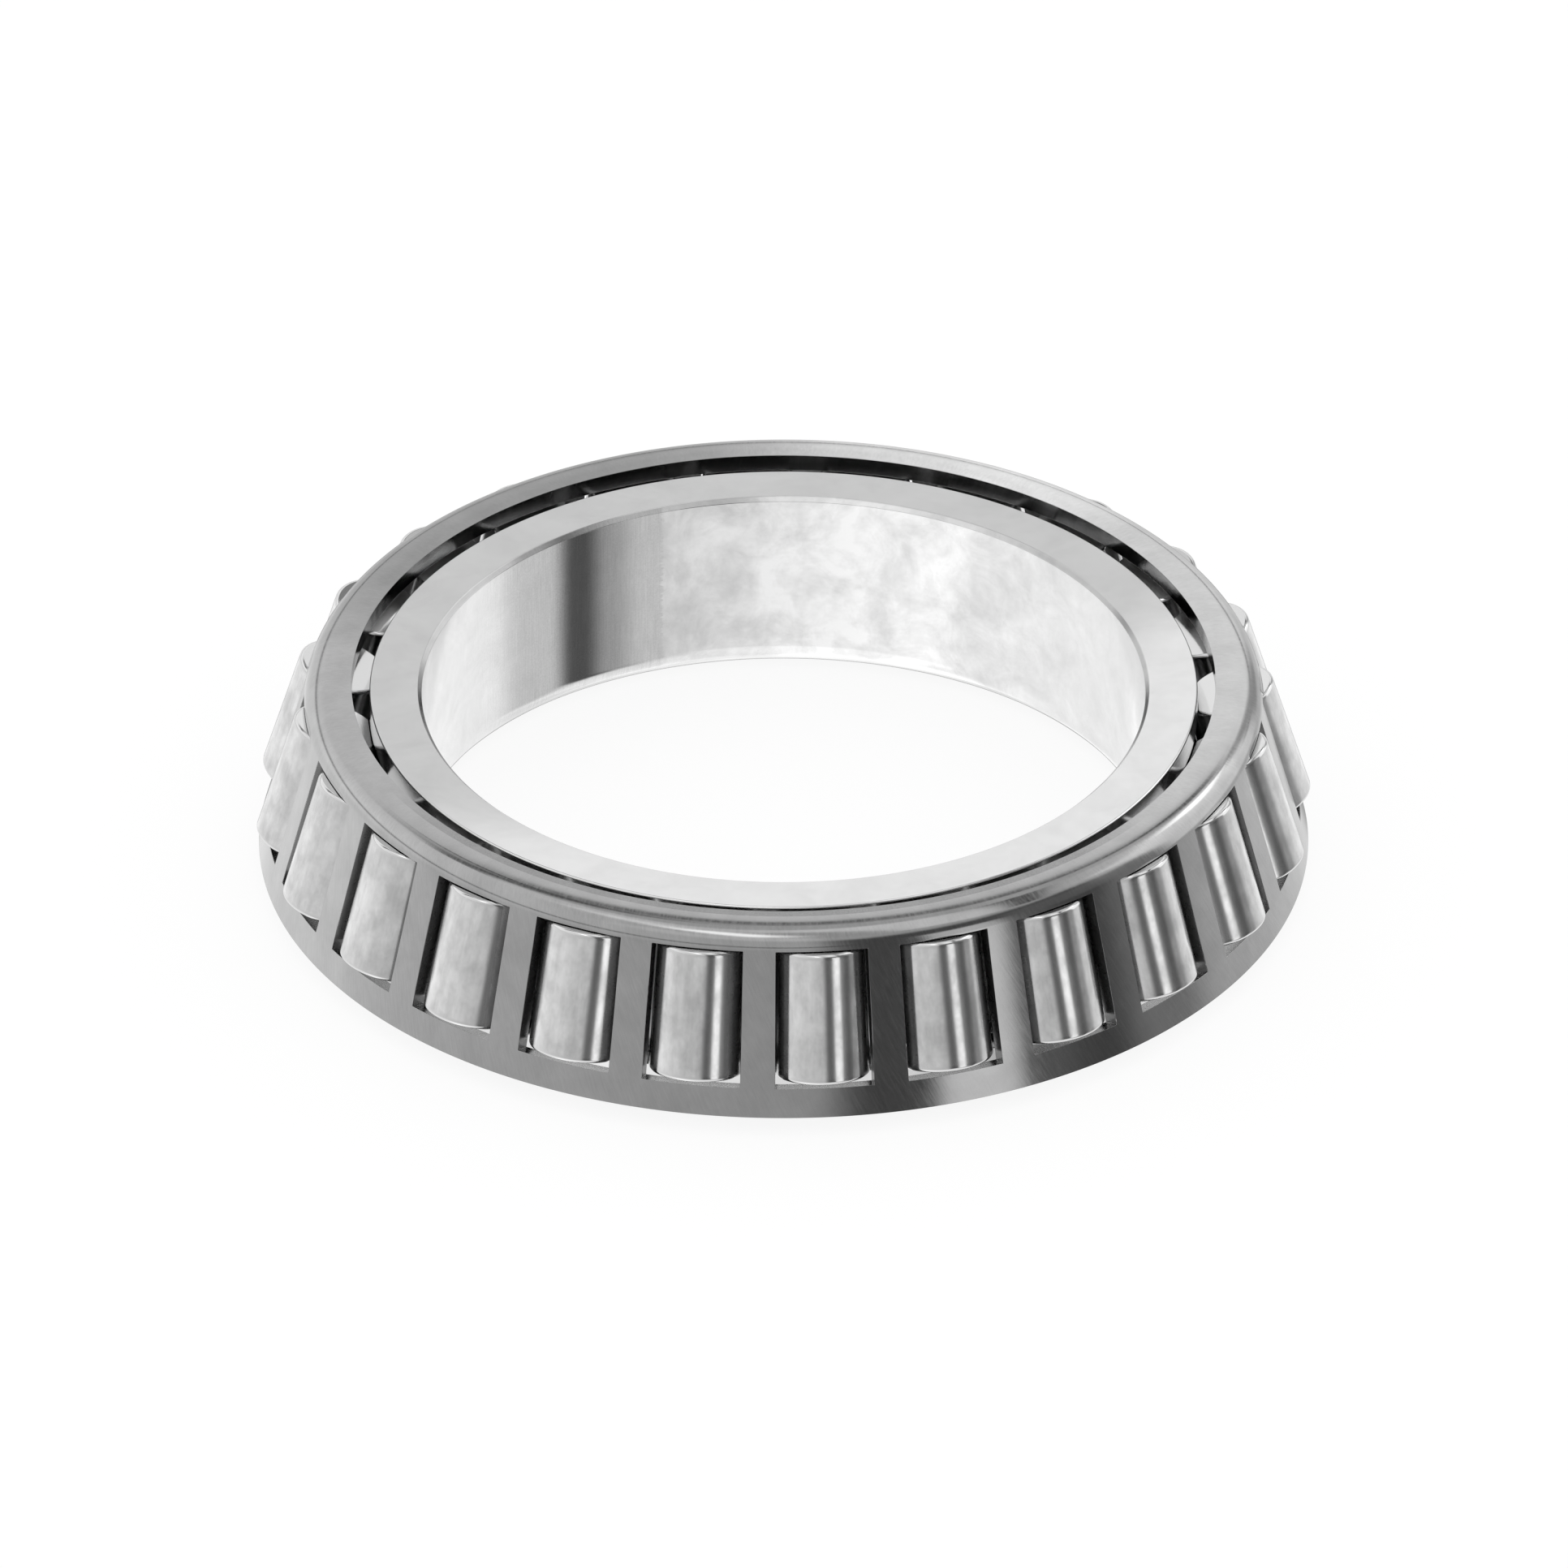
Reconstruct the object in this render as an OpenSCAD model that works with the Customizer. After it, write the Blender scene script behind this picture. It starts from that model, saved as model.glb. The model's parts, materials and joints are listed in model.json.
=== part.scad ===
// Tapered roller bearing, inner half: the inner ring with its set of tapered rollers and their cage.
//
// The bearing axis is +Z and the origin is the centre of the inner ring's large-end (back) face.
// Every cone of the bearing shares one apex on the axis, above the small end, so that the rollers
// roll on the inner raceway without sliding. Profiles are drawn in the plane [radius, height].
// Each piece is its own solid with running clearance to its neighbours.

/* [Inner ring] */
// Diameter of the bore that seats on the shaft
bore_d = 114.3; // [113.8:0.1:114.8]
// Width of the ring over its two faces
ring_width = 31.75; // [31.5:0.05:32.2]
// Outside diameter of the rib and face at the small end
small_rib_d = 130.8; // [130:0.1:131.6]
// Outside diameter of the rib that guides the rollers' large ends
large_rib_d = 148.2; // [145:0.1:150]
// Chamfer of the bore at the small-end face
bore_chamfer = 0.65; // [0.3:0.05:1.2]
// Radius of the bore's corner at the back face, which clears the shaft's fillet
bore_corner_r = 4.4; // [2:0.1:5]
// Edge rounding of the small rib
small_rib_edge_r = 0.35; // [0.2:0.05:0.6]
// Edge rounding of the large rib
large_rib_edge_r = 0.8; // [0.4:0.1:1.2]
// Radius of the relief grooves at the two ends of the raceway
relief_r = 0.6; // [0.3:0.1:0.8]

/* [Rollers] */
// Number of rollers, and of pockets in the cage
roller_count = 24; // [20:1:24]
// Angle between a roller's axis and the bearing's axis, in degrees
axis_angle = 15.17; // [14.8:0.01:15.5]
// Distance from the bearing's axis to the centre of a roller's large end
pitch_r = 76.2; // [76:0.1:76.4]
// Height of the centre of a roller's large end above the back face
seat_z = 7.66; // [7.5:0.01:7.8]
// Diameter of a roller at its large end
roller_d = 15.3; // [15:0.05:15.4]
// Length of a roller over its two end faces
roller_length = 21.3; // [21:0.05:21.4]
// Edge rounding at both ends of a roller
roller_edge_r = 0.65; // [0.3:0.05:1]
// Angle of the first roller from the front (-Y), towards +X, in degrees
first_roller_angle = 4.6; // [0:0.1:15]

/* [Cage] */
// Thickness of the pressed sheet
cage_t = 2.85; // [2.6:0.05:2.95]
// Distance from the rollers' axes out to the cage's outer surface
wall_offset = 5.35; // [5.2:0.05:5.5]
// Diameter of the opening in the flange
flange_opening_d = 136.5; // [135:0.1:138]
// Height of the flange's top above the ring's small-end face
flange_rise = 1.12; // [0.9:0.02:1.4]
// Outer radius of the bend between the flange and the wall
bend_r = 3.2; // [3.1:0.05:3.4]
// Height of the cage's lower edge above the back face
cage_bottom_z = 3.4; // [3:0.1:4]
// Width of a pocket, as an angle about the bearing's axis, in degrees
pocket_angle = 11.1; // [11:0.05:11.4]
// Width of the bevel on the cage's rim edges
cage_edge = 0.15; // [0.1:0.05:0.3]

/* [Clearances] */
// Between a roller and the inner raceway
race_gap = 0.1; // [0.08:0.01:0.15]
// Between a roller's large end and the rib that guides it
rib_gap = 0.1; // [0.08:0.01:0.15]
// Between a roller's small end and the small rib
small_rib_gap = 0.4; // [0.2:0.05:0.6]
// Between a roller's small end and the end of its pocket
pocket_gap_small = 0.25; // [0.2:0.05:0.4]
// Between a roller's large end and the end of its pocket
pocket_gap_large = 1.05; // [0.5:0.05:1.2]

/* [Hidden] */
$fn = 180;

function roller_name(i) = str("roller_", i < 10 ? "0" : "", i);

// The large end's radius, and the half angle of a cone that has its apex on the bearing's axis
roller_r = roller_d / 2;
roller_half_angle = atan(roller_r * sin(axis_angle) / pitch_r);
pitch_angle = 360 / roller_count;

// Radius of a roller at distance t from its large end
function roller_r_at(t) = roller_r - t * tan(roller_half_angle);

// Point in the profile plane at distance t along a roller's axis from its large end, towards the
// apex, and at distance h outwards from that axis
function by_roller(t, h) = [
    pitch_r - t * sin(axis_angle) + h * cos(axis_angle),
    seat_z + t * cos(axis_angle) + h * sin(axis_angle)
];

// Radius at which the line parallel to a roller's axis, at distance h outwards from it, is at height z
function slant_r(h, z) = pitch_r + h / cos(axis_angle) - (z - seat_z) * tan(axis_angle);

// Distance outwards from a roller's axis at which the line square to it at t reaches radius r
function h_at_radius(t, r) = (r - pitch_r + t * sin(axis_angle)) / cos(axis_angle);

bore_r = bore_d / 2;
small_rib_r = small_rib_d / 2;
large_rib_r = large_rib_d / 2;
small_end_t = roller_length + small_rib_gap;
raceway_low = by_roller(-rib_gap, -roller_r_at(-rib_gap) - race_gap);
raceway_high = by_roller(small_end_t, -roller_r_at(small_end_t) - race_gap);
large_rib_top = by_roller(-rib_gap, h_at_radius(-rib_gap, large_rib_r));
small_rib_low = by_roller(small_end_t, h_at_radius(small_end_t, small_rib_r));

flange_r = flange_opening_d / 2;
flange_top_z = ring_width + flange_rise;
bend_z = flange_top_z - bend_r;
bend_centre = [slant_r(wall_offset - bend_r, bend_z), bend_z];
wall_inner = wall_offset - cage_t;
wall_normal = [cos(axis_angle), sin(axis_angle)];
// How far a pocket's cutter reaches beyond the sheet, inwards and outwards
pocket_reach = 3;

// A disc that rounds an outline's corner: the outline joins the two tangent points straight, and the
// disc adds or takes away the arc between them
module corner_disc(centre, r) {
    translate(centre) circle(r = r);
}

module inner_ring_profile() {
    difference() {
        union() {
            polygon([
                [bore_r + bore_corner_r, 0],
                [large_rib_r - large_rib_edge_r, 0],
                [large_rib_r, large_rib_edge_r],
                large_rib_top - [0, large_rib_edge_r],
                by_roller(-rib_gap, h_at_radius(-rib_gap, large_rib_r) - large_rib_edge_r),
                raceway_low,
                raceway_high,
                small_rib_low,
                [small_rib_r, ring_width - small_rib_edge_r],
                [small_rib_r - small_rib_edge_r, ring_width],
                [bore_r + bore_chamfer, ring_width],
                [bore_r, ring_width - bore_chamfer],
                [bore_r, bore_corner_r]
            ]);
            corner_disc([bore_r + bore_corner_r, bore_corner_r], bore_corner_r);
            corner_disc([large_rib_r - large_rib_edge_r, large_rib_edge_r], large_rib_edge_r);
            corner_disc([small_rib_r - small_rib_edge_r, ring_width - small_rib_edge_r], small_rib_edge_r);
        }
        corner_disc(raceway_low, relief_r);
        corner_disc(raceway_high, relief_r);
    }
}

// The ring that seats on the shaft, with the raceway between its two ribs
module inner_ring() {
    color("silver") rotate_extrude() inner_ring_profile();
}

// A truncated cone standing on its large end, with rounded edges
module roller_profile() {
    side_normal = [cos(roller_half_angle), sin(roller_half_angle)];
    side = roller_edge_r * side_normal;
    small_edge_z = roller_length - roller_edge_r;
    large_edge_x = roller_r - roller_edge_r * (1 + side_normal[1]) / side_normal[0];
    small_edge_x = roller_r - (roller_edge_r + small_edge_z * side_normal[1]) / side_normal[0];
    polygon([
        [0, 0],
        [large_edge_x, 0],
        [large_edge_x, roller_edge_r] + side,
        [small_edge_x, small_edge_z] + side,
        [small_edge_x, roller_length],
        [0, roller_length]
    ]);
    corner_disc([large_edge_x, roller_edge_r], roller_edge_r);
    corner_disc([small_edge_x, small_edge_z], roller_edge_r);
}

// One tapered roller on its inclined axis, leaning in towards the apex
module roller(i) {
    color("gainsboro")
        rotate([0, 0, first_roller_angle - 90 + (i - 1) * pitch_angle])
            translate([pitch_r, 0, seat_z])
                rotate([0, -axis_angle, 0])
                    rotate_extrude() roller_profile();
}

// The outline of the sheet's outer surface, filled in to the flange's opening, without the bend's arc
module cage_outline() {
    polygon([
        [flange_r, cage_bottom_z],
        [flange_r, flange_top_z - cage_edge],
        [flange_r + cage_edge, flange_top_z],
        [bend_centre[0], flange_top_z],
        bend_centre + bend_r * wall_normal,
        [slant_r(wall_offset, cage_bottom_z + cage_edge), cage_bottom_z + cage_edge],
        [slant_r(wall_offset, cage_bottom_z) - cage_edge, cage_bottom_z]
    ]);
}

// The outline of the space inside the sheet
module cage_hollow_profile() {
    lower_edge_r = slant_r(wall_inner, cage_bottom_z) + cage_edge;
    flange_low_z = flange_top_z - cage_t;
    polygon([
        [flange_r - bend_r, cage_bottom_z - bend_r],
        [lower_edge_r, cage_bottom_z - bend_r],
        [lower_edge_r, cage_bottom_z],
        [slant_r(wall_inner, cage_bottom_z + cage_edge), cage_bottom_z + cage_edge],
        bend_centre + (bend_r - cage_t) * wall_normal,
        [bend_centre[0], flange_low_z],
        [flange_r + cage_edge, flange_low_z],
        [flange_r, flange_low_z + cage_edge],
        [flange_r - bend_r, flange_low_z + cage_edge]
    ]);
    corner_disc(bend_centre, bend_r - cage_t);
}

// The sheet before its pockets are cut: a flange turned inwards, a round bend, and a wall parallel to
// the rollers
module cage_sheet() {
    difference() {
        union() {
            rotate_extrude() cage_outline();
            rotate_extrude() corner_disc(bend_centre, bend_r);
        }
        rotate_extrude() cage_hollow_profile();
    }
}

// One pocket: a sector with sides towards the axis and ends square to the roller
module pocket(i) {
    rotate([0, 0, first_roller_angle - 90 + (i - 1) * pitch_angle - pocket_angle / 2])
        rotate_extrude(angle = pocket_angle)
            polygon([
                by_roller(-pocket_gap_large, wall_inner - pocket_reach),
                by_roller(-pocket_gap_large, wall_offset + pocket_reach),
                by_roller(roller_length + pocket_gap_small, wall_offset + pocket_reach),
                by_roller(roller_length + pocket_gap_small, wall_inner - pocket_reach)
            ]);
}

// The pressed cage that spaces the rollers and holds them on the ring
module cage() {
    color("darkgray")
        difference() {
            cage_sheet();
            for (i = [1:roller_count]) pocket(i);
        }
}

inner_ring();
cage();
for (i = [1:roller_count])
    roller(i);
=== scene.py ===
"""Studio scene of a tapered roller bearing's inner half: ring, rollers and cage, on a pale floor.

Every piece is a fine mesh that stands for one CAD node, in metres, in the CAD's own frame. Profiles are
lists of corners in the plane (radius, height), in millimetres, and each corner has its own rounding.
"""

import json
import math

import bmesh
import bpy
from mathutils import Matrix, Vector


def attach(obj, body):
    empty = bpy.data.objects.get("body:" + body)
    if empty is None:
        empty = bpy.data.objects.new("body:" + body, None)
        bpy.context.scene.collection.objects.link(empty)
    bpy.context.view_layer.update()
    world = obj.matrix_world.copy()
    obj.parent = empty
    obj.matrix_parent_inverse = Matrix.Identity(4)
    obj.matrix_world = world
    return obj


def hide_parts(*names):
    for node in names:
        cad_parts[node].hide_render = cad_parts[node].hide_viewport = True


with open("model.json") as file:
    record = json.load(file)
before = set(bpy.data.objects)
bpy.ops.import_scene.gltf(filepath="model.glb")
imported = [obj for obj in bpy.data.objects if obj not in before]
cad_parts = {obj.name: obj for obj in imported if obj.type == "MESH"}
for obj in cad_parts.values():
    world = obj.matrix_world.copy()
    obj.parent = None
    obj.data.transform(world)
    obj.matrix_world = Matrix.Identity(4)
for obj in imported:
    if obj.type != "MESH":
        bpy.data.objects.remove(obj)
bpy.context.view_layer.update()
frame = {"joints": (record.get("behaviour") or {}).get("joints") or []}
joints = {j["name"]: j for j in frame["joints"]}

MM = 0.001

# ---------------------------------------------------------------- sizes, in millimetres and degrees
BORE_R = 57.15
RING_WIDTH = 31.75
SMALL_RIB_R = 65.4
LARGE_RIB_R = 74.1
BORE_CHAMFER = 0.65
BORE_CORNER_R = 4.4
RELIEF_R = 0.6
LARGE_RIB_EDGE_R = 0.8
LARGE_RIB_BREAK_R = 0.3  # the large rib's corner towards the rollers is a small bevel with rounded ends
SMALL_RIB_EDGE_R = 0.35
GROOVE_LIP_R = 0.12
GROOVE_FLOOR_R = 0.25
CHAMFER_EDGE_R = 0.16
BREAK_R = 0.1  # rounding of an edge that is only broken

ROLLER_COUNT = 24
ROLLER_R = 7.65
ROLLER_LENGTH = 21.36
ROLLER_EDGE_R = 0.65
PITCH_R = 76.2
SEAT_Z = 7.66
AXIS_ANGLE = math.radians(15.17)
FIRST_ROLLER = math.radians(4.6)
PITCH_ANGLE = 2 * math.pi / ROLLER_COUNT

CAGE_T = 2.85
WALL_OFFSET = 5.35
FLANGE_R = 68.25
FLANGE_TOP_Z = 32.87
BEND_R = 3.2
CROWN_R = 69.9  # the flange's top is flat up to here, and then falls away slightly towards the bend
CROWN_TILT = math.radians(7)
CROWN_STEPS = 5
CAGE_BOTTOM_Z = 3.4
POCKET_ANGLE = math.radians(11.1)
POCKET_LOW_T = -1.05
POCKET_HIGH_T = 21.48
CAGE_EDGE = 0.13

RACE_GAP = 0.1
RIB_GAP = 0.1
SMALL_RIB_GAP = 0.34

# ---------------------------------------------------------------- mesh detail
RING_STEPS = 384
ROLLER_STEPS = 96
BAR_STEPS = 4
POCKET_STEPS = 9
BEND_STEPS = 14
RIM_STRIP = 0.9  # width of the first strip of faces at the flange's opening
BIG_FACE = 0.2  # a face of more square millimetres than this is a whole wall, not an edge's bevel
SMALL_FACE = CAGE_EDGE * CAGE_EDGE  # a face of less than this is a corner of the bevels
ARC_STEP = math.radians(12)
PATTERN_SHIFT = 100  # from one roller to the next, so that their films differ

HALF_ANGLE = math.atan(ROLLER_R * math.sin(AXIS_ANGLE) / PITCH_R)


def roller_r_at(t):
    return ROLLER_R - t * math.tan(HALF_ANGLE)


def by_roller(t, h):
    """Profile point at t along a roller's axis from its large end, and h outwards from that axis."""
    return Vector((
        PITCH_R - t * math.sin(AXIS_ANGLE) + h * math.cos(AXIS_ANGLE),
        SEAT_Z + t * math.cos(AXIS_ANGLE) + h * math.sin(AXIS_ANGLE),
    ))


def h_at_radius(t, r):
    return (r - PITCH_R + t * math.sin(AXIS_ANGLE)) / math.cos(AXIS_ANGLE)


def slant_point(h, z):
    """Point at height z on the line parallel to a roller's axis, at h outwards from it."""
    t = (z - SEAT_Z - h * math.sin(AXIS_ANGLE)) / math.cos(AXIS_ANGLE)
    return by_roller(t, h)


# ---------------------------------------------------------------- profiles
def rounded(corners):
    """[(corner, radius)] to [(point, normal)], walking with the solid on the left side.

    A corner with radius 0 is an end of the walk. Every other one becomes a tangent arc, so each point has
    one normal and the surface can be shaded smooth.
    """
    out = []
    for i, (corner, radius) in enumerate(corners):
        corner = Vector(corner)
        if radius == 0:
            other = Vector(corners[i + 1 if i == 0 else i - 1][0])
            along = (other - corner if i == 0 else corner - other).normalized()
            out.append((corner, Vector((along.y, -along.x))))
            continue
        before = Vector(corners[i - 1][0])
        after = Vector(corners[(i + 1) % len(corners)][0])
        into, away = (corner - before).normalized(), (after - corner).normalized()
        turn = math.atan2(into.x * away.y - into.y * away.x, into.dot(away))
        reach = radius * math.tan(abs(turn) / 2)
        start = corner - into * reach
        side = 1 if turn > 0 else -1
        centre = start + Vector((-into.y, into.x)) * radius * side
        first = Vector((into.y, -into.x))
        steps = max(2, math.ceil(abs(turn) / ARC_STEP))
        for k in range(steps + 1):
            a = turn * k / steps
            normal = Vector((
                first.x * math.cos(a) - first.y * math.sin(a),
                first.x * math.sin(a) + first.y * math.cos(a),
            ))
            out.append((centre + normal * radius * side, normal))
    return out


def ring_corners():
    """The inner ring's closed outline, with a relief groove at each end of the raceway."""
    small_t = ROLLER_LENGTH + SMALL_RIB_GAP
    raceway_low = by_roller(-RIB_GAP, -roller_r_at(-RIB_GAP) - RACE_GAP)
    raceway_high = by_roller(small_t, -roller_r_at(small_t) - RACE_GAP)
    rib_top = by_roller(-RIB_GAP, h_at_radius(-RIB_GAP, LARGE_RIB_R))
    small_rib_low = by_roller(small_t, h_at_radius(small_t, SMALL_RIB_R))
    along = (raceway_high - raceway_low).normalized()
    out = Vector((math.cos(AXIS_ANGLE), math.sin(AXIS_ANGLE)))
    groove = RELIEF_R * 0.9
    return [
        ((BORE_R, 0), BORE_CORNER_R),
        ((LARGE_RIB_R, 0), LARGE_RIB_EDGE_R),
        (rib_top - Vector((0, LARGE_RIB_EDGE_R)), LARGE_RIB_BREAK_R),
        (rib_top - out * LARGE_RIB_EDGE_R, LARGE_RIB_BREAK_R),
        (raceway_low + out * RELIEF_R, GROOVE_LIP_R),
        (raceway_low - along * groove, GROOVE_FLOOR_R),
        (raceway_low - out * groove, GROOVE_FLOOR_R),
        (raceway_low + along * RELIEF_R, GROOVE_LIP_R),
        (raceway_high - along * RELIEF_R, GROOVE_LIP_R),
        (raceway_high - out * groove, GROOVE_FLOOR_R),
        (raceway_high + along * groove, GROOVE_FLOOR_R),
        (raceway_high + out * RELIEF_R, GROOVE_LIP_R),
        (small_rib_low, BREAK_R),
        ((SMALL_RIB_R, RING_WIDTH), SMALL_RIB_EDGE_R),
        ((BORE_R + BORE_CHAMFER, RING_WIDTH), CHAMFER_EDGE_R),
        ((BORE_R, RING_WIDTH - BORE_CHAMFER), CHAMFER_EDGE_R),
    ]


def roller_corners():
    return [
        ((0, 0), 0),
        ((ROLLER_R, 0), ROLLER_EDGE_R),
        ((roller_r_at(ROLLER_LENGTH), ROLLER_LENGTH), ROLLER_EDGE_R),
        ((0, ROLLER_LENGTH), 0),
    ]


# ---------------------------------------------------------------- meshes
def finish_piece(name, mesh, normals, local):
    """Links the mesh's object. Its materials read the attribute "local": each point's place on the piece
    before it was put in the bearing, in millimetres."""
    for polygon in mesh.polygons:
        polygon.use_smooth = True
    mesh.normals_split_custom_set_from_vertices(normals)
    attribute = mesh.attributes.new("local", "FLOAT_VECTOR", "POINT")
    attribute.data.foreach_set("vector", [x for v in local for x in v])
    piece = bpy.data.objects.new(name, mesh)
    bpy.context.scene.collection.objects.link(piece)
    return piece


def around(angle, r, z):
    """A point, or a direction, at this angle from the front (-Y) towards +X."""
    return Vector((r * math.sin(angle), -r * math.cos(angle), z))


def lathe(name, profile, steps, closed, place=Matrix.Identity(4), shift=(0, 0, 0)):
    """Revolves [(point, normal)] about Z and puts the result at place, in millimetres. A profile point on
    the axis makes one vertex. The shift moves the pattern of the material, so that no two pieces match."""
    verts, normals, rings = [], [], []
    for point, normal in profile:
        on_axis = point.x < 1e-6
        count = 1 if on_axis else steps
        rings.append((len(verts), on_axis))
        for k in range(count):
            a = 2 * math.pi * k / steps
            verts.append(around(a, point.x, point.y))
            normals.append(Vector((0, 0, normal.y)) if on_axis else around(a, normal.x, normal.y))
    faces = []
    pairs = list(zip(rings, rings[1:])) + ([(rings[-1], rings[0])] if closed else [])
    for (low, low_single), (high, high_single) in pairs:
        for k in range(steps):
            n = (k + 1) % steps
            quad = [low if low_single else low + k, low if low_single else low + n,
                    high if high_single else high + n, high if high_single else high + k]
            faces.append(list(dict.fromkeys(quad)))
    mesh = bpy.data.meshes.new(name)
    mesh.from_pydata([place @ v * MM for v in verts], [], faces)
    turn = place.to_3x3()
    return finish_piece(name, mesh, [turn @ n for n in normals], [v + Vector(shift) for v in verts])


def bend_profile():
    """Radius at which the bend begins, and the bend's centre in the profile plane. The bend is an arc that
    meets the crown at CROWN_TILT and the wall at the wall's own angle."""
    start = slant_point(WALL_OFFSET - BEND_R, FLANGE_TOP_Z - BEND_R).x
    drop = (start - CROWN_R) * math.tan(CROWN_TILT) / 2
    meets = Vector((start, FLANGE_TOP_Z - drop))
    tilt = Vector((math.sin(CROWN_TILT), math.cos(CROWN_TILT)))
    wall = Vector((math.cos(AXIS_ANGLE), math.sin(AXIS_ANGLE)))
    room = slant_point(WALL_OFFSET, 0).dot(wall) - meets.dot(wall)
    radius = room / (1 - tilt.dot(wall))
    return start, meets - tilt * radius, radius


def cage_tilt(r, z):
    """Angle from +Z of the sheet's outward normal at this place on either side of the sheet."""
    start, centre, _ = bend_profile()
    if r < start:
        return CROWN_TILT * max(0.0, (r - CROWN_R) / (start - CROWN_R))
    return min(math.pi / 2 - AXIS_ANGLE, max(CROWN_TILT, math.atan2(r - centre.x, z - centre.y)))


def cage_stations():
    """The sheet's cross-section as (outer point, inner point, outer normal, inner normal, t or None),
    from the flange's rim over the bend and down the wall."""
    normal = Vector((math.cos(AXIS_ANGLE), math.sin(AXIS_ANGLE)))
    start, centre, radius = bend_profile()
    up = Vector((0, 1))
    stations = []
    for r in (FLANGE_R, FLANGE_R + RIM_STRIP, CROWN_R):
        stations.append((Vector((r, FLANGE_TOP_Z)), Vector((r, FLANGE_TOP_Z - CAGE_T)), up, -up, None))
    for k in range(1, CROWN_STEPS):
        share = k / CROWN_STEPS
        n = Vector((math.sin(CROWN_TILT * share), math.cos(CROWN_TILT * share)))
        fall = (start - CROWN_R) * math.tan(CROWN_TILT) * share * share / 2
        top = Vector((CROWN_R + (start - CROWN_R) * share, FLANGE_TOP_Z - fall))
        stations.append((top, top - n * CAGE_T, n, -n, None))
    sweep = math.pi / 2 - AXIS_ANGLE - CROWN_TILT
    for k in range(BEND_STEPS + 1):
        a = math.pi / 2 - CROWN_TILT - sweep * k / BEND_STEPS
        n = Vector((math.cos(a), math.sin(a)))
        stations.append((centre + n * radius, centre + n * (radius - CAGE_T), n, -n, None))
    low_outer = slant_point(WALL_OFFSET, CAGE_BOTTOM_Z)
    low_inner = slant_point(WALL_OFFSET - CAGE_T, CAGE_BOTTOM_Z)
    for t in [POCKET_HIGH_T * share for share in (1, 0.75, 0.5, 0.25)] + [2.0, POCKET_LOW_T]:
        stations.append((by_roller(t, WALL_OFFSET), by_roller(t, WALL_OFFSET - CAGE_T), normal, -normal, t))
    stations.append((low_outer, low_inner, normal, -normal, None))
    return stations


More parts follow.
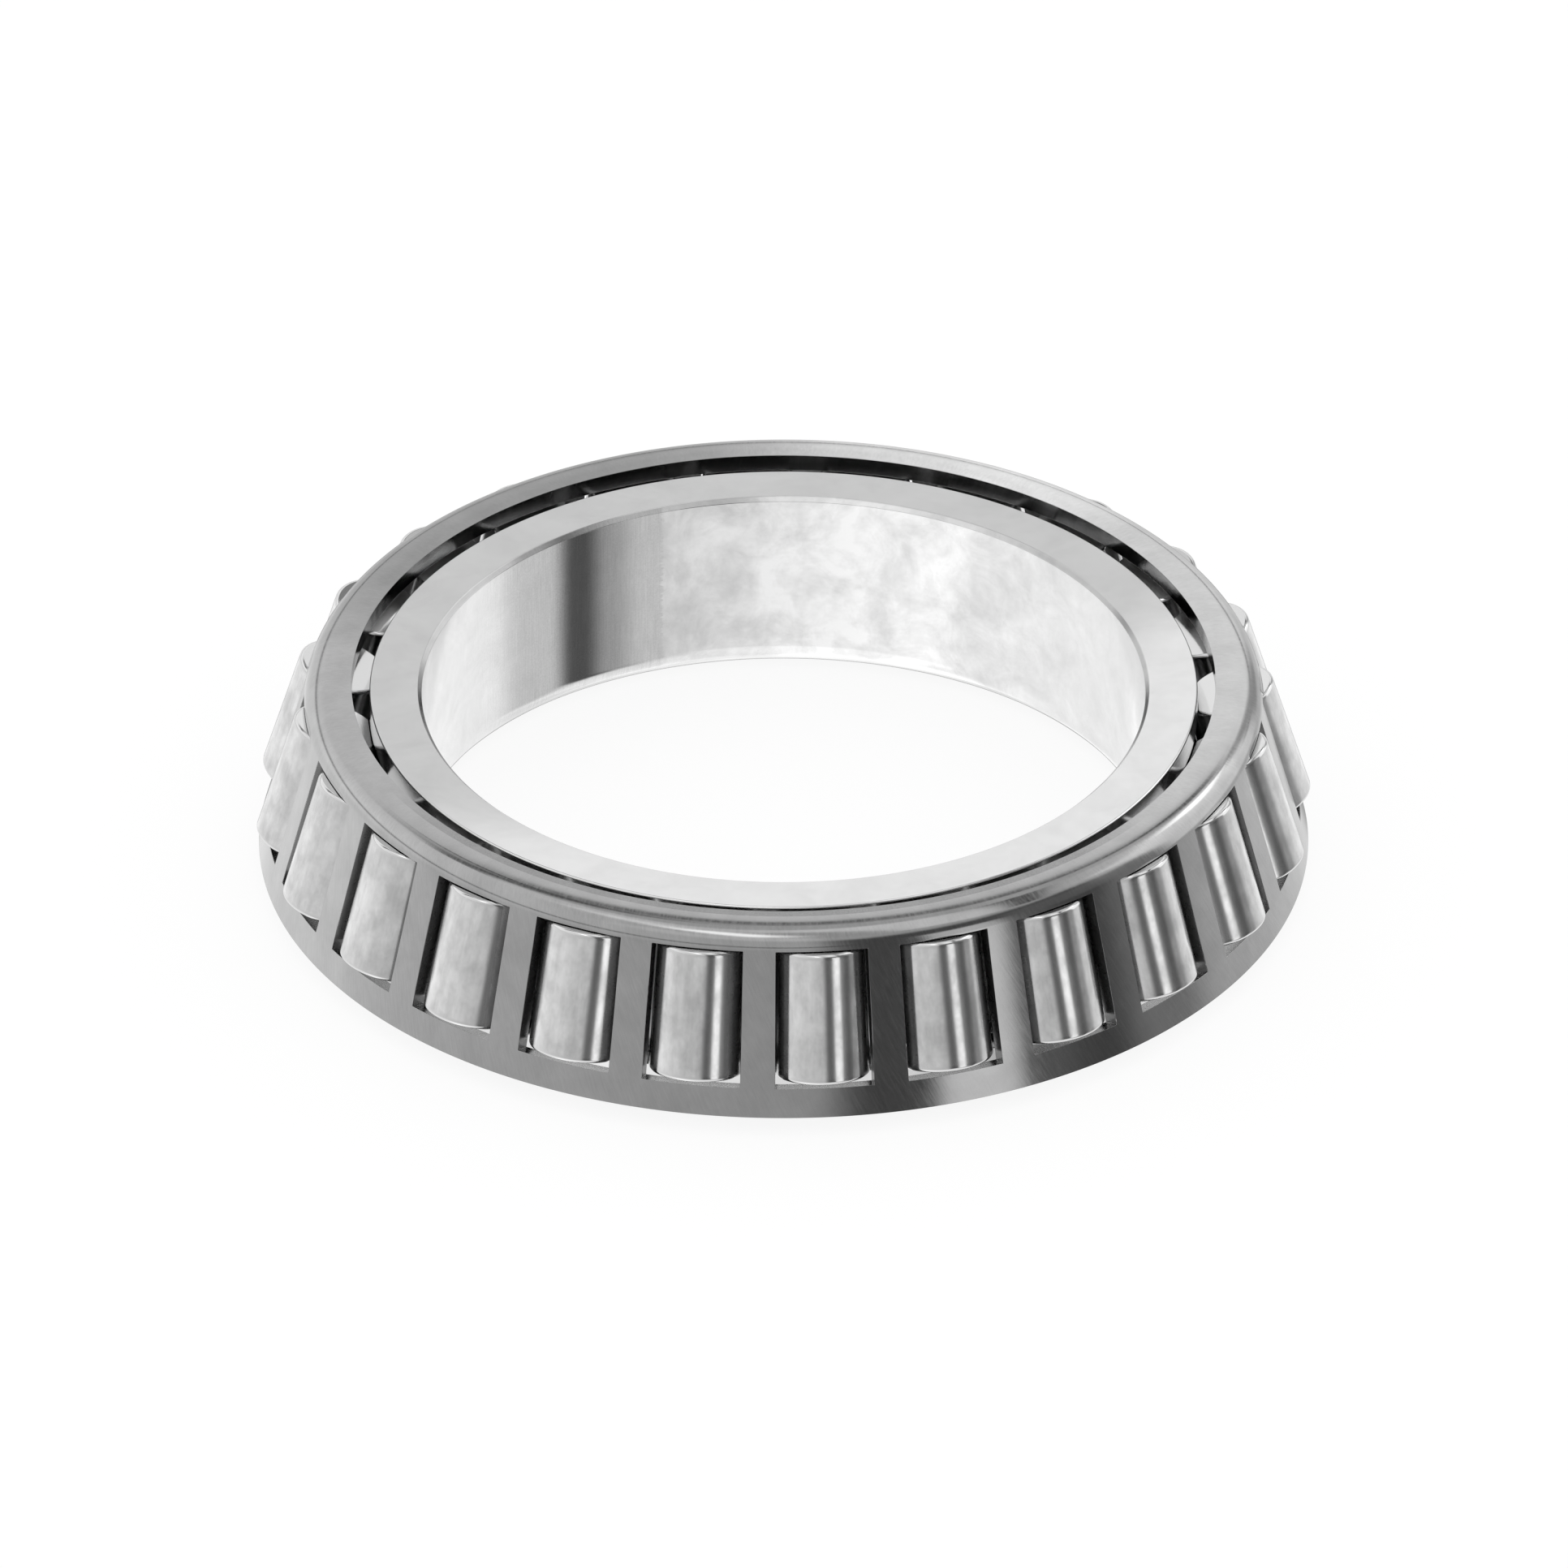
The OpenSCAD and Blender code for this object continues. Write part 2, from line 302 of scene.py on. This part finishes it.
def cage_mesh(name):
    """The sheet with its pockets and bevelled edges. Its material reads three more attributes, 1 where they
    hold: "scale" on the pockets' sides, "sheared" on their ends and "inside" on the sheet's inner face;
    through them it paints shade and light."""
    stations = cage_stations()
    angles, in_pocket = [], []
    for i in range(ROLLER_COUNT):
        start = FIRST_ROLLER + i * PITCH_ANGLE - POCKET_ANGLE / 2
        bar = PITCH_ANGLE - POCKET_ANGLE
        for k in range(POCKET_STEPS):
            angles.append(start + POCKET_ANGLE * k / POCKET_STEPS)
            in_pocket.append(True)
        for k in range(BAR_STEPS):
            angles.append(start + POCKET_ANGLE + bar * k / BAR_STEPS)
            in_pocket.append(False)
    columns, rows = len(angles), len(stations)
    bm = bmesh.new()
    kind = bm.faces.layers.int.new("kind")
    outer = [[bm.verts.new(around(a, s[0].x, s[0].y)) for a in angles] for s in stations]
    inner = [[bm.verts.new(around(a, s[1].x, s[1].y)) for a in angles] for s in stations]

    def face(verts, label):
        made = bm.faces.new(verts)
        made[kind] = label
        made.smooth = True

    def is_open(row, column):
        t_here, t_next = stations[row][4], stations[row + 1][4]
        return in_pocket[column % columns] and t_here is not None and t_next is not None

    OUTER, INNER, RIM, FOOT, SIDE, END = 1, 2, 3, 4, 5, 6
    for j in range(columns):
        n = (j + 1) % columns
        face((inner[0][j], inner[0][n], outer[0][n], outer[0][j]), RIM)
        face((outer[-1][j], outer[-1][n], inner[-1][n], inner[-1][j]), FOOT)
        for i in range(rows - 1):
            if not is_open(i, j):
                face((outer[i][j], outer[i][n], outer[i + 1][n], outer[i + 1][j]), OUTER)
                face((inner[i][j], inner[i + 1][j], inner[i + 1][n], inner[i][n]), INNER)
                if i + 1 < rows - 1 and is_open(i + 1, j):
                    face((outer[i + 1][j], outer[i + 1][n], inner[i + 1][n], inner[i + 1][j]), END)
                if i > 0 and is_open(i - 1, j):
                    face((inner[i][j], inner[i][n], outer[i][n], outer[i][j]), END)
                if is_open(i, j - 1):
                    face((outer[i][j], outer[i + 1][j], inner[i + 1][j], inner[i][j]), SIDE)
                if is_open(i, n):
                    face((inner[i][n], inner[i + 1][n], outer[i + 1][n], outer[i][n]), SIDE)
    bmesh.ops.delete(bm, geom=[v for v in bm.verts if not v.link_faces], context="VERTS")
    bmesh.ops.recalc_face_normals(bm, faces=bm.faces)
    sharp = [e for e in bm.edges if len({f[kind] for f in e.link_faces}) > 1]
    bmesh.ops.bevel(bm, geom=sharp, offset=CAGE_EDGE, offset_type="OFFSET", segments=2, profile=0.5,
                    affect="EDGES", clamp_overlap=True, material=-1, loop_slide=True)
    bm.normal_update()

    def sheet_normal(co):
        r = math.hypot(co.x, co.y)
        tilt = cage_tilt(r, co.z)
        return Vector((co.x / r * math.sin(tilt), co.y / r * math.sin(tilt), math.cos(tilt)))

    bm.verts.ensure_lookup_table()
    normals, scale, sheared, inside = [], [], [], []
    curved = (OUTER, INNER)
    for v in bm.verts:
        walls = {f[kind] for f in v.link_faces if f[kind] in curved and f.calc_area() > SMALL_FACE}
        largest = max(v.link_faces, key=lambda f: f.calc_area())
        big = largest.calc_area() > BIG_FACE
        scale.append(1.0 if largest[kind] == SIDE and big else 0.0)
        sheared.append(1.0 if largest[kind] == END and big else 0.0)
        inside.append(1.0 if largest[kind] == INNER else 0.0)
        if len(walls) == 1 and largest[kind] in curved:
            n = sheet_normal(v.co)
            normals.append(n if largest[kind] == OUTER else -n)
        elif big:
            normals.append(largest.normal.copy())
        else:
            normals.append(v.normal.copy())
    local = [v.co.copy() for v in bm.verts]
    bmesh.ops.scale(bm, vec=(MM, MM, MM), verts=bm.verts)
    mesh = bpy.data.meshes.new(name)
    bm.to_mesh(mesh)
    bm.free()
    for label, values in (("scale", scale), ("sheared", sheared), ("inside", inside)):
        mesh.attributes.new(label, "FLOAT", "POINT").data.foreach_set("value", values)
    return finish_piece(name, mesh, normals, local)


# ---------------------------------------------------------------- materials
class Graph:
    """Short calls for building a node tree. An input is a number, a tuple or another node's output."""

    def __init__(self, tree):
        self.tree = tree

    def node(self, kind, inputs=None, **settings):
        made = self.tree.nodes.new(kind)
        for key, value in settings.items():
            setattr(made, key, value)
        for key, value in (inputs or {}).items():
            if isinstance(value, bpy.types.NodeSocket):
                self.tree.links.new(value, made.inputs[key])
            else:
                made.inputs[key].default_value = value
        return made

    def math(self, operation, *values, clamp=False):
        inputs = dict(enumerate(values))
        return self.node("ShaderNodeMath", inputs, operation=operation, use_clamp=clamp).outputs[0]

    def ramp(self, value, low, high, to_low=0.0, to_high=1.0, smooth=False):
        """value from low..high to to_low..to_high, held at both ends."""
        inputs = {"Value": value, "From Min": low, "From Max": high, "To Min": to_low, "To Max": to_high}
        kind = "SMOOTHSTEP" if smooth else "LINEAR"
        return self.node("ShaderNodeMapRange", inputs, interpolation_type=kind).outputs[0]

    def blend(self, share, a, b):
        """a where share is 0, and b where it is 1."""
        return self.node("ShaderNodeMix", {0: share, 2: a, 3: b}, data_type="FLOAT").outputs[0]

    def grey(self, value):
        return self.node("ShaderNodeCombineColor", {0: value, 1: value, 2: value}).outputs[0]

    def vector(self, x, y, z):
        return self.node("ShaderNodeCombineXYZ", {0: x, 1: y, 2: z}).outputs[0]

    def noise(self, vector, scale, detail=2.0, rough=0.5, warp=0.0):
        inputs = {"Vector": vector, "Scale": scale, "Detail": detail, "Roughness": rough, "Distortion": warp}
        return self.node("ShaderNodeTexNoise", inputs).outputs["Fac"]


def steel(name):
    """An empty steel: its graph, its shader and the place on the piece as (vector, x, y, z, r, angle)."""
    material = bpy.data.materials.new(name)
    material.use_nodes = True
    shader = material.node_tree.nodes["Principled BSDF"]
    shader.inputs["Metallic"].default_value = 1
    g = Graph(material.node_tree)
    place = g.node("ShaderNodeAttribute", attribute_name="local").outputs["Vector"]
    x, y, z = g.node("ShaderNodeSeparateXYZ", {0: place}).outputs
    r = g.math("SQRT", g.math("ADD", g.math("MULTIPLY", x, x), g.math("MULTIPLY", y, y)))
    angle = g.math("ARCTAN2", x, g.math("MULTIPLY", y, -1))
    return material, g, shader, (place, x, y, z, r, angle)


def finish_steel(g, shader, colour, roughness, height, depth):
    """Colour and roughness from values, and bump from a height whose full range is depth millimetres."""
    links = g.tree.links
    links.new(g.grey(colour), shader.inputs["Base Color"])
    links.new(roughness, shader.inputs["Roughness"])
    bump = g.node("ShaderNodeBump", {"Strength": 1.0, "Distance": depth * MM, "Height": height})
    links.new(bump.outputs[0], shader.inputs["Normal"])


def near_angle(g, angle, centre, full, none):
    """1 within full degrees of the centre angle, falling smoothly to 0 at none degrees from it."""
    off = g.math("WRAP", g.math("SUBTRACT", g.math("DEGREES", angle), centre), 180, -180)
    return g.ramp(g.math("ABSOLUTE", off), full, none, 1, 0, smooth=True)


def make_ring_steel():
    """Ground steel: a face with a painted reflection, darker at the back and left, a clouded bore with
    painted light and shade by angle and a smooth, darker patch that begins at a ragged seam, and a chamfered
    edge to the bore with painted shade except at the back."""
    material, g, shader, (place, x, y, z, r, angle) = steel("ring_steel")
    cloud = g.noise(place, 0.13, detail=5, rough=0.62, warp=0.5)
    fine_cloud = g.noise(place, 0.42, detail=3, rough=0.6)
    drift = g.noise(place, 0.03, detail=1)
    # painted reflection: the ring's faces lighter towards the front and right, darker towards the back and
    # left
    across = g.math("SUBTRACT", g.math("MULTIPLY", x, 0.53), g.math("MULTIPLY", y, 0.85))
    across = g.math("ADD", across, g.ramp(drift, 0.3, 0.7, -12, 12))
    face_painted_reflection = g.ramp(across, -2, 34, smooth=True)
    in_bore = g.ramp(r, BORE_R + 0.5, BORE_R + 0.7, 1, 0)
    clouds = g.math("ADD", g.ramp(cloud, 0.33, 0.67, -1, 1), g.ramp(fine_cloud, 0.3, 0.7, -0.4, 0.4))
    ragged = g.noise(g.vector(0, 0, z), 0.8, detail=4, rough=0.7)
    seam = g.math("ADD", g.math("DEGREES", angle), g.ramp(ragged, 0.3, 0.7, -0.8, 0.8))
    patch_end = g.ramp(seam, -140, -112, 1, 0, smooth=True)
    smooth_patch = g.math("MULTIPLY", g.ramp(seam, -160.6, -160.2), patch_end)
    smooth_patch = g.math("MULTIPLY", smooth_patch, in_bore)
    cloudy = g.ramp(near_angle(g, angle, 180, 25, 65), 0, 1, 0.05, 0.13)
    depth = g.blend(smooth_patch, g.blend(in_bore, 0.022, cloudy), 0.035)
    # painted light and shade in the bore: darker near -167 degrees, lighter near the back
    bore_tone_and_painted_light = g.blend(near_angle(g, angle, -167, 6, 13), 0.86, 0.8)
    bore_tone_and_painted_light = g.blend(near_angle(g, angle, 176, 3, 13), bore_tone_and_painted_light, 0.96)
    colour = g.blend(in_bore, g.blend(face_painted_reflection, 0.60, 0.82), bore_tone_and_painted_light)
    colour = g.blend(smooth_patch, colour, 0.69)
    # painted shade on the bore's chamfered edge, all round but the back
    chamfer_z = RING_WIDTH - BORE_CHAMFER
    chamfer_painted_shade = g.math("MULTIPLY", in_bore, g.ramp(z, chamfer_z - 0.05, chamfer_z + 0.1))
    chamfer_painted_shade = g.math("MULTIPLY", chamfer_painted_shade, near_angle(g, angle, 0, 132, 158))
    colour = g.math("MULTIPLY", colour, g.ramp(chamfer_painted_shade, 0, 1, 1, 0.62))
    colour = g.math("MULTIPLY", colour, g.math("ADD", 1.0, g.math("MULTIPLY", clouds, depth)))
    lengthwise = g.vector(g.math("MULTIPLY", angle, 220.0), 0, g.math("MULTIPLY", z, 0.15))
    drawn = g.noise(lengthwise, 1.0, detail=3)
    speckle = g.noise(place, 3.5, detail=3, rough=0.7)
    marks = g.math("ADD", g.ramp(drawn, 0.3, 0.7, -0.06, 0.06), g.ramp(speckle, 0.3, 0.7, -0.07, 0.07))
    colour = g.math("MULTIPLY", colour, g.math("ADD", 1.0, g.math("MULTIPLY", marks, smooth_patch)))
    turned = g.noise(g.vector(g.math("MULTIPLY", r, 7.0), g.math("MULTIPLY", z, 7.0), angle), 1.0, detail=3)
    grain = g.noise(place, 9.0, detail=1)
    roughness = g.blend(smooth_patch, g.ramp(cloud, 0.3, 0.7, 0.21, 0.13), 0.09)
    height = g.math("ADD", g.math("MULTIPLY", turned, 0.5), g.math("MULTIPLY", grain, 0.5))
    finish_steel(g, shader, colour, roughness, height, 0.0016)
    return material


def make_cage_steel():
    """Pressed sheet with a satin finish and fine slanting brush marks. Its flange has painted shade along
    the front of the opening, a painted sheen and highlight on one side and painted shade on the other. The
    punched pockets have painted light on their ends and painted shade on their sides; the sheet's inner face
    has painted light and the wall's left side a painted sheen."""
    material, g, shader, (place, _, _, z, r, angle) = steel("cage_steel")
    scale, sheared, inside = [
        g.node("ShaderNodeAttribute", attribute_name=label).outputs["Fac"]
        for label in ("scale", "sheared", "inside")
    ]
    cloud = g.noise(place, 0.16, detail=4, rough=0.6, warp=0.3)
    girth = g.math("MULTIPLY", angle, 80.0)
    slant = g.math("ADD", girth, g.math("MULTIPLY", z, 0.45))
    brush = g.noise(g.vector(g.math("MULTIPLY", slant, 3.2), g.math("MULTIPLY", z, 0.2), r), 1.0, detail=4)
    grain = g.noise(place, 9.0, detail=2)
    on_top = g.ramp(z, 31.2, 32.6, smooth=True)
    # painted sheen on the flange's right-hand side and a painted highlight at its back right
    flange_painted_sheen = g.math("MULTIPLY", near_angle(g, angle, 105, 24, 80), on_top)
    flange_painted_highlight = g.math("MULTIPLY", near_angle(g, angle, 159, 8, 32), on_top)
    # painted shade on the flange's back left
    flange_painted_shade = g.math("MULTIPLY", near_angle(g, angle, -139, 20, 46), on_top)
    # painted shade, speckled, in a strip along the front of the flange's opening
    opening_painted_shade = g.math("MULTIPLY", g.ramp(r, CROWN_R - 0.1, CROWN_R + 0.05, 1, 0), g.ramp(z, 32.7, 32.8))
    opening_painted_shade = g.math("MULTIPLY", opening_painted_shade, near_angle(g, angle, -4, 46, 62))
    speckle = g.ramp(g.noise(place, 6.0, detail=2), 0.35, 0.65, 0.66, 0.86)
    # painted sheen on the wall's left side, below the flange
    wall_painted_sheen = g.math("MULTIPLY", near_angle(g, angle, -84, 14, 44), g.math("SUBTRACT", 1, on_top))
    colour = g.ramp(cloud, 0.3, 0.7, 0.41, 0.47)
    colour = g.math("MULTIPLY", colour, g.ramp(brush, 0.3, 0.7, 0.96, 1.04))
    colour = g.math("MULTIPLY", colour, g.ramp(flange_painted_sheen, 0, 1, 1, 1.38))
    colour = g.math("MULTIPLY", colour, g.ramp(flange_painted_highlight, 0, 1, 1, 1.42))
    colour = g.math("MULTIPLY", colour, g.ramp(wall_painted_sheen, 0, 1, 1, 1.3))
    colour = g.math("MULTIPLY", colour, g.ramp(flange_painted_shade, 0, 1, 1, 0.7))
    colour = g.math("MULTIPLY", colour, g.blend(opening_painted_shade, 1.0, speckle))
    # painted shade on the pockets' sides
    colour = g.math("MULTIPLY", colour, g.ramp(scale, 0, 1, 1, 0.5))
    # painted light on the pockets' ends, with painted shade on them near the left
    lit_ends = g.ramp(near_angle(g, angle, -80, 12, 40), 0, 1, 1.4, 0.45)
    colour = g.math("MULTIPLY", colour, g.blend(sheared, 1.0, lit_ends))
    # painted light on the sheet's inner face
    colour = g.math("MULTIPLY", colour, g.ramp(inside, 0, 1, 1, 1.5))
    rough_cut = g.math("ADD", g.math("MULTIPLY", scale, 0.15), g.math("MULTIPLY", sheared, 0.12))
    rough_cut = g.math("ADD", rough_cut, g.math("MULTIPLY", inside, 0.3))
    roughness = g.math("ADD", g.ramp(brush, 0.3, 0.7, 0.11, 0.17), rough_cut)
    height = g.math("ADD", g.math("MULTIPLY", brush, 0.7), g.math("MULTIPLY", grain, 0.3))
    finish_steel(g, shader, colour, roughness, height, 0.0028)
    return material


def make_roller_steel():
    """Polished, with a blotchy film over the rolling surface and clean ends. The local z is the distance
    from the large end plus the roller's shift."""
    material, g, shader, (place, x, y, z, _, _) = steel("roller_steel")
    along = g.math("MODULO", z, PATTERN_SHIFT)
    filmed = g.math("MULTIPLY", g.ramp(along, 0.6, 1.1), g.ramp(along, 20.3, 20.8, 1, 0))
    film = g.noise(g.vector(x, y, g.math("MULTIPLY", z, 0.65)), 0.34, detail=3, rough=0.58)
    drawn = g.noise(g.vector(x, y, g.math("MULTIPLY", z, 0.12)), 0.7, detail=3, rough=0.55)
    grain = g.noise(place, 5.0, detail=2)
    colour = g.math("MULTIPLY", g.ramp(film, 0.34, 0.66, 0.68, 0.9), g.ramp(drawn, 0.3, 0.7, 0.92, 1.07))
    colour = g.blend(filmed, 0.76, colour)
    roughness = g.blend(filmed, 0.13, g.ramp(film, 0.3, 0.7, 0.22, 0.17))
    finish_steel(g, shader, colour, roughness, g.math("MULTIPLY", grain, filmed), 0.0012)
    return material


# ---------------------------------------------------------------- pieces
def stand_for(piece, node, body, material):
    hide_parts(node)
    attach(piece, body)
    piece.data.materials.clear()
    piece.data.materials.append(material)


ring_steel = make_ring_steel()
cage_steel = make_cage_steel()
roller_steel = make_roller_steel()

ring = lathe("ring_body", rounded(ring_corners()), RING_STEPS, closed=True)
stand_for(ring, "inner_ring", "inner_ring", ring_steel)

cage = cage_mesh("cage_body")
stand_for(cage, "cage", "cage", cage_steel)

roller_profile = rounded(roller_corners())
for i in range(ROLLER_COUNT):
    node = f"roller_{i + 1:02d}"
    joint = joints[node + "_spin"]
    turn = Vector(joint["axis"]).normalized().to_track_quat("Z", "Y").to_matrix().to_4x4()
    place = Matrix.Translation(Vector(joint["pos_m"]) / MM) @ turn
    shift = (0, 0, PATTERN_SHIFT * (i + 1))
    piece = lathe(node + "_body", roller_profile, ROLLER_STEPS, False, place, shift)
    stand_for(piece, node, node, roller_steel)

# ---------------------------------------------------------------- camera
CAMERA_ELEVATION = math.radians(31.84)
CAMERA_DISTANCE = 1.2
FRAME_WIDTH = 0.24764
AIM = Vector((0.00007, 0, 0.0141))

camera_data = bpy.data.cameras.new("camera")
camera_data.type = "ORTHO"
camera_data.ortho_scale = FRAME_WIDTH
camera = bpy.data.objects.new("camera", camera_data)
back = Vector((0, -math.cos(CAMERA_ELEVATION), math.sin(CAMERA_ELEVATION)))
camera.location = AIM + back * CAMERA_DISTANCE
camera.rotation_mode = "QUATERNION"
camera.rotation_quaternion = (-back).to_track_quat("-Z", "Y")
bpy.context.scene.collection.objects.link(camera)
bpy.context.scene.camera = camera

# ---------------------------------------------------------------- studio
# Brightness of the room by height above the horizon, as (elevation in degrees, level)
ROOM = [
    (-90, 1.1), (-36, 1.1), (-30, 0.92), (-22, 0.68), (-12, 0.6), (0, 0.6), (14.2, 0.72), (17.3, 0.04),
    (20.4, 0.72), (45, 0.7), (65, 0.62), (90, 0.62),
]
ROOM_TOP = 1.5  # the ramp's colours stay under 1, so levels are divided by this and multiplied back
ROOM_BRIGHT_SIDE = -150  # azimuth of the room's brighter side
ROOM_MEAN = 1.15  # the room's levels are multiplied by the mean, plus the lean on the brighter side
ROOM_LEAN = 0.3

# Panels round the object, each laid over those before it:
# azimuth from the camera's side towards +X, elevation, half width, half height and soft edge, in degrees,
# and level
PANELS = [
    (-128, -18, 28, 8, 14, 0.88),   # light wall, left
    (-105, -42, 48, 21, 18, 0.95),  # floor, left
    (155, -42, 50, 21, 18, 0.98),   # floor, back right
    (180, -32, 14, 14, 12, 0.4),    # foot of the back wall
    (180, 60, 34, 17, 8, 0.62),     # ceiling behind the object
    (180, 35.5, 30, 6, 5, 0.95),    # wall behind the object
    (174, 42.8, 12, 2.1, 3, 0.08),  # gap between that wall and the ceiling
    (163, 40.5, 9, 3.2, 4, 0.1),    # the gap's continuation, back right
    (-170, 48.5, 5, 6, 4, 0.12),    # the gap's rise, back left
    (-150, 53.5, 18, 3.5, 5, 0.12),  # the gap's continuation, back left
    (149, 19, 7, 19, 10, 0.4),      # the wall's right-hand edge
    (66, -28, 34, 16, 16, 0.72),    # floor at the dark corner
    (48, 14, 37, 31, 12, 0.1),      # dark corner of the room, front right
    (65, 10, 13, 27, 8, 0.17),      # its lighter half
    (88, 4, 10, 30, 12, 0.3),       # its right-hand side
    (60, -31, 9, 13, 12, 0.42),     # the shade beside its edge
    (69, -17, 7, 25, 9, 0.1),       # its edge, down to the floor
    (41.5, 8, 9, 16, 5, 0.85),      # soft box in the dark corner
    (41.5, -8, 8, 9, 6, 1.1),       # the soft box's lower half
    (120, 54, 26, 9, 8, 0.75),      # wall above the large soft box, back right
    (118, 22, 21, 27, 8, 1.15),     # large soft box
    (137, 39, 8, 5.5, 5, 2.3),      # its lamp
    (-20, 56, 30, 8, 10, 0.85),     # window, front left
]
# Panels overhead, by their tilts from straight up:
# towards +X, towards the camera, half width, half depth, soft edge and turn, in degrees, and level
OVERHEAD = [
    (-11, 8, 5, 19, 8, 31, 1.2),    # strip light, left
    (-7, 14, 4.5, 9, 7, 31, 2.1),   # its brighter end
    (27, -6, 3, 22, 3, 31, 0.06),   # gap beside the soft box
    (17, 2, 9, 23, 4, 31, 1.0),     # soft box, right
]
BACKDROP_LEVEL = 1.0
FLOOR_LIGHT = 1.12
FLOOR_PAINT = 0.12
FLOOR_GLOW = 0.88
FLOOR_SIZE = 4.0  # in metres
FLOOR_GAP = 0.02  # in millimetres


def soft_rectangle(g, across, along, half_width, half_depth, soft):
    """1 inside a rectangle of directions, falling smoothly to 0 over its soft edge."""
    across, along = g.math("ABSOLUTE", across), g.math("ABSOLUTE", along)
    return g.math(
        "MULTIPLY",
        g.ramp(across, half_width - soft / 2, half_width + soft / 2, 1, 0, smooth=True),
        g.ramp(along, half_depth - soft / 2, half_depth + soft / 2, 1, 0, smooth=True),
    )


def make_studio():
    """Light by direction. The floor gets an even light, and the camera sees a plain backdrop."""
    world = bpy.data.worlds.new("studio")
    world.use_nodes = True
    g = Graph(world.node_tree)
    direction = g.node("ShaderNodeTexCoord").outputs["Generated"]
    x, y, z = g.node("ShaderNodeSeparateXYZ", {0: direction}).outputs
    azimuth = g.math("DEGREES", g.math("ARCTAN2", x, g.math("MULTIPLY", y, -1)))
    elevation = g.math("DEGREES", g.math("ARCSINE", z))
    room = g.node("ShaderNodeValToRGB", {"Fac": g.ramp(elevation, -90, 90)})
    stops = room.color_ramp.elements
    room.color_ramp.interpolation = "LINEAR"
    for k, (angle, level) in enumerate(ROOM):
        stop = stops[k] if k < 2 else stops.new(1)
        stop.position = (angle + 90) / 180
        stop.color = (level / ROOM_TOP,) * 3 + (1,)
    away = g.math("RADIANS", g.math("SUBTRACT", azimuth, ROOM_BRIGHT_SIDE))
    lean = g.math("ADD", ROOM_MEAN, g.math("MULTIPLY", g.math("COSINE", away), ROOM_LEAN))
    light = g.math("MULTIPLY", g.math("MULTIPLY", room.outputs["Color"], ROOM_TOP), lean)
    for panel_azimuth, panel_elevation, half_width, half_height, soft, level in PANELS:
        across = g.math("WRAP", g.math("SUBTRACT", azimuth, panel_azimuth), 180, -180)
        up = g.math("SUBTRACT", elevation, panel_elevation)
        light = g.blend(soft_rectangle(g, across, up, half_width, half_height, soft), light, level)
    sideways = g.math("DEGREES", g.math("ARCTAN2", x, z))
    forwards = g.math("DEGREES", g.math("ARCTAN2", g.math("MULTIPLY", y, -1), z))
    for centre_x, centre_y, half_width, half_depth, soft, turn, level in OVERHEAD:
        dx, dy = g.math("SUBTRACT", sideways, centre_x), g.math("SUBTRACT", forwards, centre_y)
        cos, sin = math.cos(math.radians(turn)), math.sin(math.radians(turn))
        across = g.math("SUBTRACT", g.math("MULTIPLY", dx, cos), g.math("MULTIPLY", dy, sin))
        along = g.math("ADD", g.math("MULTIPLY", dx, sin), g.math("MULTIPLY", dy, cos))
        light = g.blend(soft_rectangle(g, across, along, half_width, half_depth, soft), light, level)
    rays = g.node("ShaderNodeLightPath").outputs
    light = g.blend(rays["Is Diffuse Ray"], light, FLOOR_LIGHT)
    light = g.blend(rays["Is Camera Ray"], light, BACKDROP_LEVEL)
    background = world.node_tree.nodes["Background"]
    g.tree.links.new(g.grey(light), background.inputs["Color"])
    bpy.context.scene.world = world


def make_floor():
    """A pale floor, just clear of the ring's back face. Reflections in the steel look past it into the
    studio."""
    half = FLOOR_SIZE / 2
    low = -FLOOR_GAP * MM
    mesh = bpy.data.meshes.new("floor")
    corners = [(-half, -half, low), (half, -half, low), (half, half, low), (-half, half, low)]
    mesh.from_pydata([Vector(c) for c in corners], [], [(0, 1, 2, 3)])
    floor = bpy.data.objects.new("floor", mesh)
    bpy.context.scene.collection.objects.link(floor)
    material = bpy.data.materials.new("floor_paint")
    material.use_nodes = True
    shader = material.node_tree.nodes["Principled BSDF"]
    shader.inputs["Base Color"].default_value = (FLOOR_PAINT,) * 3 + (1,)
    shader.inputs["Roughness"].default_value = 1
    shader.inputs["Specular IOR Level"].default_value = 0
    shader.inputs["Emission Color"].default_value = (1, 1, 1, 1)
    shader.inputs["Emission Strength"].default_value = FLOOR_GLOW
    mesh.materials.append(material)
    floor.visible_glossy = False


make_studio()
make_floor()
bpy.context.scene.view_settings.view_transform = "Standard"
